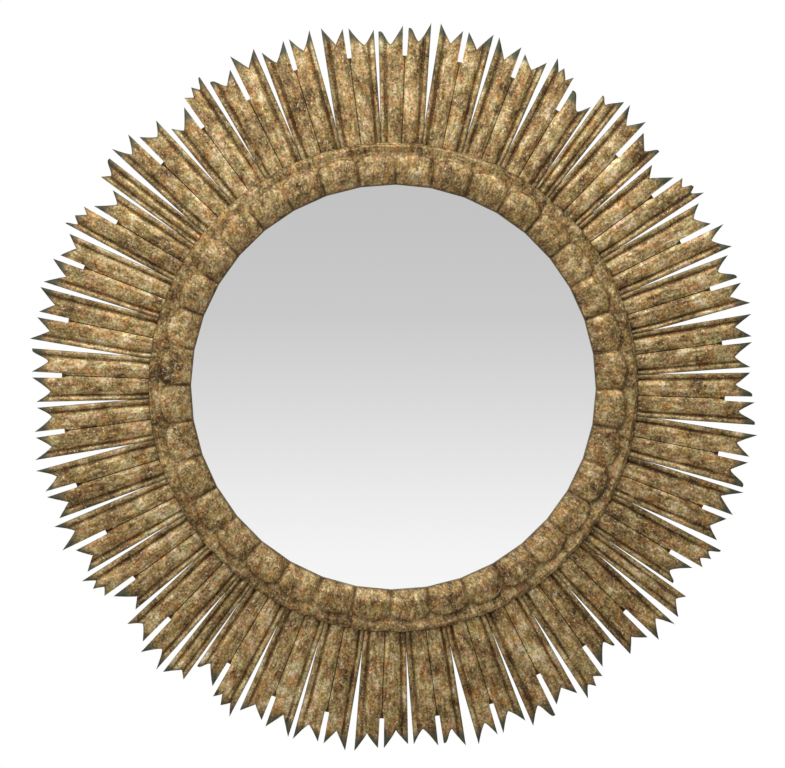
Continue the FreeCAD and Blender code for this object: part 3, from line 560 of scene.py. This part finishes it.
class Slat:
    """One slat at twelve o'clock: x runs across it, z out along its middle and y towards the wall."""

    def __init__(self, sizes, wedge, half_tips, forks, floor, seed):
        self.sizes = sizes
        self.wedge = wedge
        self.floor = floor
        self.strays = random.Random(seed)
        self.shift = Vector((seed * 0.83, 0.0, seed * 0.37))
        self.half_tips = [half + self.strays.uniform(-1.2, 0.8) * MM for half in half_tips]
        self.forks = [Fork(fork, self.strays, sizes.unevenness) for fork in forks]
        self.lean = [self.strays.uniform(-0.03, 0.03) for _ in forks]

    def half(self, side, radius):
        """Half width on a side, -1 left or 1 right: fitted to the neighbour, then straight."""
        sizes = self.sizes
        spring_half = sizes.spring * math.tan(self.wedge / 2) - sizes.hairline
        if radius <= sizes.spring:
            return radius * math.tan(self.wedge / 2) - sizes.hairline
        out = (radius - sizes.spring) / (sizes.reach - sizes.spring)
        return spring_half + (self.half_tips[side > 0] - spring_half) * out

    def slot_half(self, radius):
        """Half width of a pair's middle groove, which flares into the slot beyond its floor."""
        sizes = self.sizes
        if radius <= self.floor:
            flare = smooth_share(self.floor - 9 * MM, self.floor, radius)
            return sizes.slot_half_root + (sizes.slot_half_floor - sizes.slot_half_root) * flare
        out = (radius - self.floor) / (sizes.reach - self.floor)
        return sizes.slot_half_floor + (sizes.slot_half_mouth - sizes.slot_half_floor) * out

    def columns(self):
        """(ray, place across it) of each mesh column. The columns of the middle groove have ray None."""
        widest = self.half_tips[0] + self.half_tips[1]
        per_ray = round(widest / len(self.forks) / self.sizes.mesh_step)
        rays = []
        for number, fork in enumerate(self.forks):
            places = [i / per_ray for i in range(per_ray + 1)]
            for corner, _ in fork.points:
                nearest = min(range(per_ray + 1), key=lambda i: abs(places[i] - corner))
                places[nearest] = corner
            rays.append([(number, place) for place in places])
        if len(rays) == 1:
            return rays[0]
        return rays[0] + [(None, 0.25), (None, 0.5), (None, 0.75)] + rays[1]

    def across(self, column, radius):
        """x of a column at a radius."""
        ray, place = column
        left, right = -self.half(-1, radius), self.half(1, radius)
        gap = self.slot_half(radius)
        if ray is None:
            return -gap + 2 * gap * place
        if len(self.forks) == 2:
            left, right = (left, -gap) if ray == 0 else (gap, right)
        return left + (right - left) * place

    def inward(self, column, where):
        """Share of the ray's width from its outer edge, wandering as a hand-guided gouge does."""
        ray, place = column
        place += self.lean[ray] * math.sin(place * math.pi) + 0.014 * ripple(*where, 14 * MM)
        place = min(max(place, 0.0), 1.0)
        if len(self.forks) == 1:
            return min(place, 1 - place)
        return place if ray == 0 else 1 - place

    def height(self, column, x, radius, tip):
        """Carved height over the back, with the share of umber toning and painted shade and the share of
        painted grey shade that the gilding reads.
        """
        sizes = self.sizes
        out = smooth_share(sizes.spring, sizes.reach, radius)
        thickness = sizes.root_thickness + (sizes.tip_thickness - sizes.root_thickness) * out
        ray, _ = column
        # The middle groove takes full umber toning and painted shade.
        if ray is None:
            return thickness * 0.40, 1.0, 0.0
        where = self.shift + Vector((x, 0, radius))
        inward = self.inward(column, where)
        level, quirk = moulding(inward)
        along = (radius % sizes.pit_pitch) / sizes.pit_pitch - 0.5
        pit = math.exp(-((along * PIT_SHARPNESS) ** 2)) if BEAD < inward < CROWN else 0.0
        height = thickness * level + layered(GOUGE_MARKS, where) - PIT_DEPTH * pit
        to_tip = max(tip - radius, 0.0)
        horn = self.forks[ray].horn(radius)
        height -= TIP_BEVEL * math.exp(-to_tip / TIP_BEVEL_WIDTH) + HORN_THINNING * horn
        to_side = inward * (self.half_tips[0] + self.half_tips[1]) / len(self.forks)
        # Painted grey shade at the sawn tip, over the horns and along the sawn sides.
        edge = max(0.9 * math.exp(-to_tip / TIP_SHADE_REACH), 1.15 * horn, 0.85 * math.exp(-to_side / SIDE_SHADE_REACH))
        # Umber toning and painted shade in the quirk and the punch marks, varying in patches.
        fade = 0.75 + 0.5 * ripple(*(where + self.shift), 30 * MM)
        return height, min(quirk * fade + 0.4 * pit, 1.0), edge

    def build(self, clock):
        """The slat as a closed bmesh turned to its clock angle."""
        sizes = self.sizes
        columns = self.columns()
        inner_rows = round((self.floor - sizes.root) / sizes.mesh_step)
        outer_rows = round((sizes.reach - self.floor) / sizes.mesh_step)
        rows = inner_rows + outer_rows
        bm = bmesh.new()
        grain, hollow, edge = gilding_layers(bm)
        bmesh.ops.create_grid(bm, x_segments=len(columns) - 1, y_segments=rows, size=1)
        slot_verts = set()
        for vert in bm.verts:
            column = columns[round((vert.co.x + 1) / 2 * (len(columns) - 1))]
            row = round((vert.co.y + 1) / 2 * rows)
            ray, place = column
            tip = sizes.reach if ray is None else self.forks[ray].radius(place)
            if row <= inner_rows:
                radius = sizes.root + (self.floor - sizes.root) * row / inner_rows
            else:
                radius = self.floor + (tip - self.floor) * (row - inner_rows) / outer_rows
                if ray is None:
                    slot_verts.add(vert)
            x = self.across(column, radius)
            height, vert[hollow], vert[edge] = self.height(column, x, radius, tip)
            tall = math.sqrt(max(radius * radius - x * x, 0.0)) if row > inner_rows else radius
            vert.co = (x, CARRIER_FRONT - height, tall)
            vert[grain] = self.shift + vert.co
        bmesh.ops.delete(bm, geom=list(slot_verts), context="VERTS")
        close_carving(bm, CARRIER_FRONT)
        bmesh.ops.rotate(bm, verts=bm.verts, cent=(0, 0, 0), matrix=Matrix.Rotation(clock, 3, "Y"))
        return bm


def close_carving(bm, back):
    """Drops walls from the rim of a carved face to a flat back, paints shade on the walls, and closes it."""
    hollow, edge = (bm.verts.layers.float[name] for name in ("hollow", "edge"))
    grain = bm.verts.layers.float_vector["grain"]
    for face in bm.faces:
        face.smooth = True
    rim = [side for side in bm.edges if side.is_boundary]
    for side in rim:
        side.smooth = False
    for step in (0.5, 1.0):
        made = bmesh.ops.extrude_edge_only(bm, edges=rim)["geom"]
        verts = [item for item in made if isinstance(item, bmesh.types.BMVert)]
        for vert in verts:
            drop = (back - vert.co.y) * step
            vert.co.y += drop
            vert[grain] = vert[grain] + Vector((drop, drop, 0))
            # Painted shade on the walls: some umber toning and shade, and much painted grey shade.
            vert[hollow] = 0.45
            vert[edge] = 0.9
        rim = [item for item in made if isinstance(item, bmesh.types.BMEdge) and item.is_boundary]
    bmesh.ops.contextual_create(bm, geom=rim)
    for side in rim:
        side.smooth = False
    bmesh.ops.recalc_face_normals(bm, faces=bm.faces)


def slat_plans(sizes):
    """(node, clock angle, wedge, half widths at the tip, forks, slot floor) of every slat."""
    pair_wedge = (math.pi / 2 - sizes.single_wedge) / PAIRS_IN_QUADRANT
    for quadrant in range(QUADRANTS):
        start = sizes.first_quadrant + math.pi / 2 * quadrant
        halves = (sizes.single_left_tip, sizes.single_right_tip)
        middle = start + sizes.single_wedge / 2
        node = f"ray_single_{quadrant + 1}"
        yield node, middle, sizes.single_wedge, halves, [SINGLE_FORK], sizes.slot_floor
        for pair, forks in enumerate(PAIR_FORKS):
            halves = (TIP_HALVES[pair] * MM, TIP_HALVES[pair + 1] * MM)
            middle = start + sizes.single_wedge + pair_wedge * (pair + 0.5)
            node = f"ray_pair_{quadrant * PAIRS_IN_QUADRANT + pair + 1:02d}"
            floor = sizes.deep_slot_floor if pair in DEEP_SLOTS else sizes.slot_floor
            yield node, middle, pair_wedge, halves, forks, floor


# The lappet ring's relief: depths in front of the carrier, then the widths of its marks.
GROUND_DEPTH = 6 * MM  # beside the glass
GROUND_RISE = 9.5 * MM  # from there to the foot of the lappets' tops
GROUND_WIDTH = 16 * MM  # how far from the glass the ground climbs
RIM_DEPTH = 15.8 * MM
COVE_RISE = 1.0 * MM
FILLET_RISE = 1.6 * MM
RIM_FALL = 2.9 * MM
LIP_DEPTH = 3 * MM  # straight inner edge round the glass
TUCK_DEPTH = 13 * MM  # underside of the rim, over the slats
FILLET_WIDTH = 2.4 * MM
# Widths of the painted shade in the seams between the lappets and along the glass.
SEAM_WIDTH = 1.7 * MM
LIP_SHADE = 2.2 * MM
SHOULDER_WIDTH = 2.6 * MM  # steep shoulder of a lappet
DOME_WIDTH = 11 * MM  # from a lappet's edge to the top of its dome
RAGGED = 2.5 * MM  # how far the rim's outer edge is broken back
# The ring's unevenness: (height in mm, size in mm) of each layer, in its outlines and over its face.
RING_WOBBLE = ((1.5, 24), (0.8, 8))
RING_MARKS = ((0.55, 10), (0.30, 3.4))


def lappet_place(sizes, clock):
    """Place of a clock angle across its lappet, from -1 at one valley to 1 at the next, and its number."""
    turns = (clock - sizes.start) / (2 * math.pi) * LAPPETS
    number = math.floor(turns)
    return (turns - number) * 2 - 1, number % LAPPETS


def unrolled(sizes, clock, depth, radius):
    """A place on the ring laid out flat for noise, so that the noise meets itself all the way round."""
    along = abs(clock - math.pi) * sizes.lappet_top
    return Vector((along, depth + radius * math.sin(clock) * 0.5, radius))


def bell(distance, width):
    """1 at no distance, falling away smoothly over a width on both sides."""
    return math.exp(-((distance / width) ** 2))


def rim_surface(sizes, radius, carved, worn):
    """Depth of the rim beyond the lappets and its share of umber toning and painted shade: a cove, a worn
    fillet and a falling edge.
    """
    cove = smooth_share(sizes.lappet_top, sizes.fillet - 3.5 * MM, radius)
    fillet = bell(radius - sizes.fillet, FILLET_WIDTH) * worn
    fall = smooth_share(sizes.fillet - 1 * MM, RING_RADIUS - 0.5 * MM, radius)
    depth = RIM_DEPTH + COVE_RISE * cove + FILLET_RISE * fillet - RIM_FALL * fall + carved * 1.6
    # Umber toning and painted shade at the foot of the cove beside the lappet tops and over the rim, in
    # patches, sparing the fillet's crest.
    dark = 0.3 * (1 - smooth_share(sizes.lappet_top, sizes.lappet_top + 3 * MM, radius)) * worn
    return max(depth, sizes.rim_edge), min(dark + 0.45 * (1 - fillet) * worn, 1.0)


def ring_surface(sizes, clock, radius):
    """Depth of the ring's face in front of the carrier, and its share of umber toning and painted shade: in
    the seams, along the glass and on the ground round the lappets.
    """
    across, number = lappet_place(sizes, clock)
    where = unrolled(sizes, clock, 0.0, radius)
    wobble = layered(RING_WOBBLE, where)
    carved = layered(RING_MARKS, where)
    worn = 0.5 + 0.5 * ripple(*(where + Vector((3, 0, 1))), 34 * MM)
    if radius > sizes.lappet_top:
        return rim_surface(sizes, radius + wobble, carved, worn)
    ground = GROUND_DEPTH + GROUND_RISE * smooth_share(sizes.sight, sizes.sight + GROUND_WIDTH, radius)
    half = radius * math.pi / LAPPETS
    arch = sizes.lappet_top - sizes.arch_spring
    arch_top = sizes.arch_spring + arch * math.sqrt(max(1 - across * across, 0.0)) + wobble * 0.6
    to_side = (1 - abs(across)) * half * 1.15
    to_arch = (arch_top - radius) * 0.9
    inside = min(to_side, to_arch, radius - sizes.sight + 2.5 * MM)
    swell = smooth_share(-0.6 * MM, SHOULDER_WIDTH, inside) * 0.60
    swell += smooth_share(0.0, DOME_WIDTH, inside) * 0.40
    lift = sizes.pillow * (0.90 + 0.20 * math.sin(number * 2.4))
    near_glass = 1 - smooth_share(sizes.sight + 8 * MM, sizes.arch_spring, radius)
    # Painted shade in the seams between the lappets, stronger near the glass, and round their arched tops,
    # and a band of painted shade along the glass.
    side_seam_shade = bell(to_side, SEAM_WIDTH) * (inside > -1 * MM) * (0.9 + 0.6 * near_glass)
    arch_seam_shade = bell(to_arch, SEAM_WIDTH) * (0.1 + 0.8 * worn)
    glass_edge_shade = bell(radius - sizes.sight, LIP_SHADE)
    # With umber toning and painted shade on the ground round the lappets, in patches.
    dark = max(side_seam_shade, arch_seam_shade, glass_edge_shade) + 0.3 * (1 - smooth_share(-2 * MM, 0.5 * MM, inside)) * worn
    return ground + lift * swell + carved * (0.5 + 0.5 * swell), min(dark, 1.5)


def ring_profile(sizes):
    """The ring's section at twelve o'clock as (depth, radius) points, closed."""
    face = [sizes.sight + step * MM for step in range(1, round((RING_RADIUS - sizes.sight) / MM))]
    points = [(CARRIER_FRONT, sizes.sight), (CARRIER_FRONT - LIP_DEPTH, sizes.sight)]
    points += [(RING_LOW.y, radius) for radius in face]
    tuck = CARRIER_FRONT - TUCK_DEPTH
    points += [(tuck - 0.3 * MM, RING_RADIUS), (tuck, RING_RADIUS - 0.3 * MM)]
    points += [(tuck, sizes.foot), (CARRIER_FRONT, sizes.foot)]
    return points


def inward_pull(sizes, clock, radius):
    """Share of its radius that a point keeps: the glass's edge runs in chords and the rim's is ragged."""
    across, _ = lappet_place(sizes, clock)
    near_sight = 1 - smooth_share(sizes.sight, sizes.sight + 8 * MM, radius)
    chord = sizes.sight * (1 - math.cos(math.pi / LAPPETS)) * (1 - across * across) * near_sight
    near_edge = smooth_share(RING_RADIUS - 4 * MM, RING_RADIUS, radius)
    ragged = max(ripple(*unrolled(sizes, clock, 0.0, RING_RADIUS), 12 * MM), 0.0) * near_edge
    return (radius - chord - ragged * RAGGED) / radius


def build_ring(sizes):
    """The lappet ring: its section spun round, then its face carved."""
    bm = bmesh.new()
    grain, hollow, edge = gilding_layers(bm)
    profile = ring_profile(sizes)
    verts = [bm.verts.new((0, depth, radius)) for depth, radius in profile]
    sides = [bm.edges.new(pair) for pair in zip(verts, verts[1:] + verts[:1])]
    steps = LAPPETS * sizes.steps_per_lappet
    bmesh.ops.spin(
        bm, geom=verts + sides, cent=(0, 0, 0), axis=(0, 1, 0), angle=2 * math.pi, steps=steps, use_merge=True
    )
    bmesh.ops.remove_doubles(bm, verts=bm.verts, dist=0.02 * MM)
    for vert in bm.verts:
        clock = math.atan2(vert.co.x, vert.co.z) % (2 * math.pi)
        radius = math.hypot(vert.co.x, vert.co.z)
        # The lip face along the glass, the tuck and the back take umber toning and painted shade and some
        # painted grey shade; the face gets its own shares below.
        vert[hollow], vert[edge] = 0.9, 0.5
        if vert.co.y <= RING_LOW.y + 0.1 * MM:
            vert[edge] = 0.0
            depth, vert[hollow] = ring_surface(sizes, clock, radius)
            vert.co.y = max(CARRIER_FRONT - depth, RING_LOW.y)
        pull = inward_pull(sizes, clock, radius)
        vert.co.x *= pull
        vert.co.z *= pull
        vert[grain] = unrolled(sizes, clock, vert.co.y, radius)
    for face in bm.faces:
        face.smooth = True
    bmesh.ops.recalc_face_normals(bm, faces=bm.faces)
    return bm


# ---------------------------------------------------------------- operators


class SUNBURST_OT_rays(bpy.types.Operator):
    """Carves the forty slats"""

    bl_idname = "sunburst.rays"
    bl_label = "Carve the Rays"

    def execute(self, context):
        sizes = context.scene.sunburst_rays
        material = gilt("gilt_rays", context.scene.sunburst_finish, 0.0)
        for seed, (node, clock, *plan) in enumerate(slat_plans(sizes), start=1):
            slat = Slat(sizes, *plan, seed)
            finished_piece(node + "_carved", slat.build(clock), material, [node])
        return {"FINISHED"}


class SUNBURST_OT_ring(bpy.types.Operator):
    """Carves the ring of lappets"""

    bl_idname = "sunburst.ring"
    bl_label = "Carve the Lappet Ring"

    def execute(self, context):
        material = gilt("gilt_ring", context.scene.sunburst_finish, 0.04)
        bm = build_ring(context.scene.sunburst_ring)
        finished_piece("lappet_ring_carved", bm, material, ["lappet_ring"])
        return {"FINISHED"}


class SUNBURST_OT_finishes(bpy.types.Operator):
    """Gives the glass, the boards and the hardware their finishes"""

    bl_idname = "sunburst.finishes"
    bl_label = "Finish Glass, Boards and Hardware"

    def execute(self, context):
        colours = context.scene.sunburst_finish
        steel = metal("hanger_steel", colours.steel, paint(120, 112, 100), (1.0, 1.0, 0.1), 0.26)
        button_steel = metal("button_steel", colours.steel, paint(128, 124, 118), (0.1, 1.0, 1.0), 0.30)
        zinc = metal("zinc_plate", colours.zinc, paint(128, 108, 66), (1.0, 0.1, 1.0), 0.28)
        finishes = {
            "silvered_glass": mirror(colours),
            "carrier_plywood": plywood(colours),
            "spacer_card": card(colours),
            "backing_hardboard": hardboard(colours),
            "zinc_screws": zinc,
            "button_steel": button_steel,
            "hanger_steel": steel,
            "rubber_bumpers": rubber(colours),
        }
        for row in frame["record"]["subparts"]:
            if row["material_slot"] in finishes:
                node = frame["nodes"][row["node"]]
                node.data.materials.clear()
                node.data.materials.append(finishes[row["material_slot"]])
        return {"FINISHED"}


def aim(thing, target):
    """Turns a camera or a light towards a point."""
    thing.rotation_euler = (Vector(target) - thing.location).to_track_quat("-Z", "Y").to_euler()


def soft_light(name, place, target, size, power):
    """A large square light."""
    lamp = bpy.data.lights.new(name, "AREA")
    lamp.size = size
    lamp.energy = power
    light = bpy.data.objects.new(name, lamp)
    bpy.context.scene.collection.objects.link(light)
    light.location = place
    aim(light, target)


# Grey of the room seen straight ahead of the glass: (place from low to high, screen tone).
WALL_TONES = [
    (0.05, 250),
    (0.15, 247),
    (0.25, 240),
    (0.35, 231),
    (0.45, 222),
    (0.55, 213),
    (0.65, 204),
    (0.80, 199),
    (0.95, 196),
]


def make_room(level):
    """A pale even room. Straight in front of the glass a paler floor rises into a greyer wall."""
    world = bpy.data.worlds.new("pale_room")
    bpy.context.scene.world = world
    world.use_nodes = True
    room = Network(world.node_tree)
    way = room.node("ShaderNodeTexCoord", output=0)
    front = room.node("ShaderNodeSeparateXYZ", None, {0: way}, output=1)
    up = room.node("ShaderNodeSeparateXYZ", None, {0: way}, output=2)
    stops = [(place, paint(tone, tone, tone)) for place, tone in WALL_TONES]
    wall = room.node("ShaderNodeValToRGB", {"stops": stops}, {0: up.between(-0.05, 0.05)})
    ahead = front.between(-0.95, -0.985)
    light = room.mix(ahead, (level, level, level), wall)
    seen = room.node("ShaderNodeLightPath", output=0)
    light = room.mix(seen, light, (1.0, 1.0, 1.0))
    background = world.node_tree.nodes["Background"]
    room.feed(background.inputs["Color"], light)
    background.inputs["Strength"].default_value = 1.0


class SUNBURST_OT_stage(bpy.types.Operator):
    """Sets the camera, the pale floor and the soft light"""

    bl_idname = "sunburst.stage"
    bl_label = "Set the Stage"

    def execute(self, context):
        sizes = context.scene.sunburst_stage
        lens = bpy.data.cameras.new("camera")
        camera = bpy.data.objects.new("camera", lens)
        context.scene.collection.objects.link(camera)
        camera.location = (sizes.camera_right, -sizes.camera_distance, sizes.camera_up)
        camera.rotation_euler = Euler((math.pi / 2, 0, 0))
        to_rays = sizes.camera_distance + CARRIER_FRONT - context.scene.sunburst_rays.root_thickness
        lens.lens = lens.sensor_width * to_rays / sizes.view_width
        lens.clip_end = 100
        context.scene.camera = camera
        context.scene.view_settings.view_transform = "Standard"

        bm = bmesh.new()
        bmesh.ops.create_circle(bm, cap_ends=True, segments=96, radius=sizes.floor_radius)
        bmesh.ops.translate(bm, verts=bm.verts, vec=(0, 0, -sizes.floor_drop))
        mesh = bpy.data.meshes.new("floor")
        bm.to_mesh(mesh)
        bm.free()
        mesh.materials.append(pale_floor())
        floor = bpy.data.objects.new("floor", mesh)
        context.scene.collection.objects.link(floor)

        make_room(sizes.room_light)
        soft_light("side_light", (-1.7, -1.5, 0.5), (0.0, 0.0, 0.0), 0.9, sizes.side_power)
        soft_light("top_light", (0.0, -1.0, 1.25), (0.0, 0.0, 0.1), 1.1, sizes.top_power)
        soft_light("back_light", (0.8, 2.2, 1.6), (0.0, 0.0, 0.0), 1.4, sizes.back_power)
        return {"FINISHED"}


class SUNBURST_PT_sidebar(bpy.types.Panel):
    """The mirror's operators and sizes in the 3D view's sidebar"""

    bl_label = "Sunburst Mirror"
    bl_idname = "SUNBURST_PT_sidebar"
    bl_space_type = "VIEW_3D"
    bl_region_type = "UI"
    bl_category = "Sunburst"

    def draw(self, context):
        for operator in STEPS:
            self.layout.operator(operator.bl_idname)
        for name, group in SETTINGS.items():
            box = self.layout.box()
            for key in group.__annotations__:
                box.prop(getattr(context.scene, name), key)


STEPS = (SUNBURST_OT_stage, SUNBURST_OT_rays, SUNBURST_OT_ring, SUNBURST_OT_finishes)
SETTINGS = {
    "sunburst_rays": SunburstRaySettings,
    "sunburst_ring": SunburstRingSettings,
    "sunburst_finish": SunburstFinishSettings,
    "sunburst_stage": SunburstStageSettings,
}


def register():
    for item in (*SETTINGS.values(), *STEPS, SUNBURST_PT_sidebar):
        bpy.utils.register_class(item)
    for name, group in SETTINGS.items():
        setattr(bpy.types.Scene, name, bpy.props.PointerProperty(type=group))


def unregister():
    for name in SETTINGS:
        delattr(bpy.types.Scene, name)
    for item in (SUNBURST_PT_sidebar, *reversed(STEPS), *reversed(SETTINGS.values())):
        bpy.utils.unregister_class(item)


def main():
    register()
    bpy.ops.sunburst.stage()
    bpy.ops.sunburst.rays()
    bpy.ops.sunburst.ring()
    bpy.ops.sunburst.finishes()


if __name__ == "__main__":
    main()
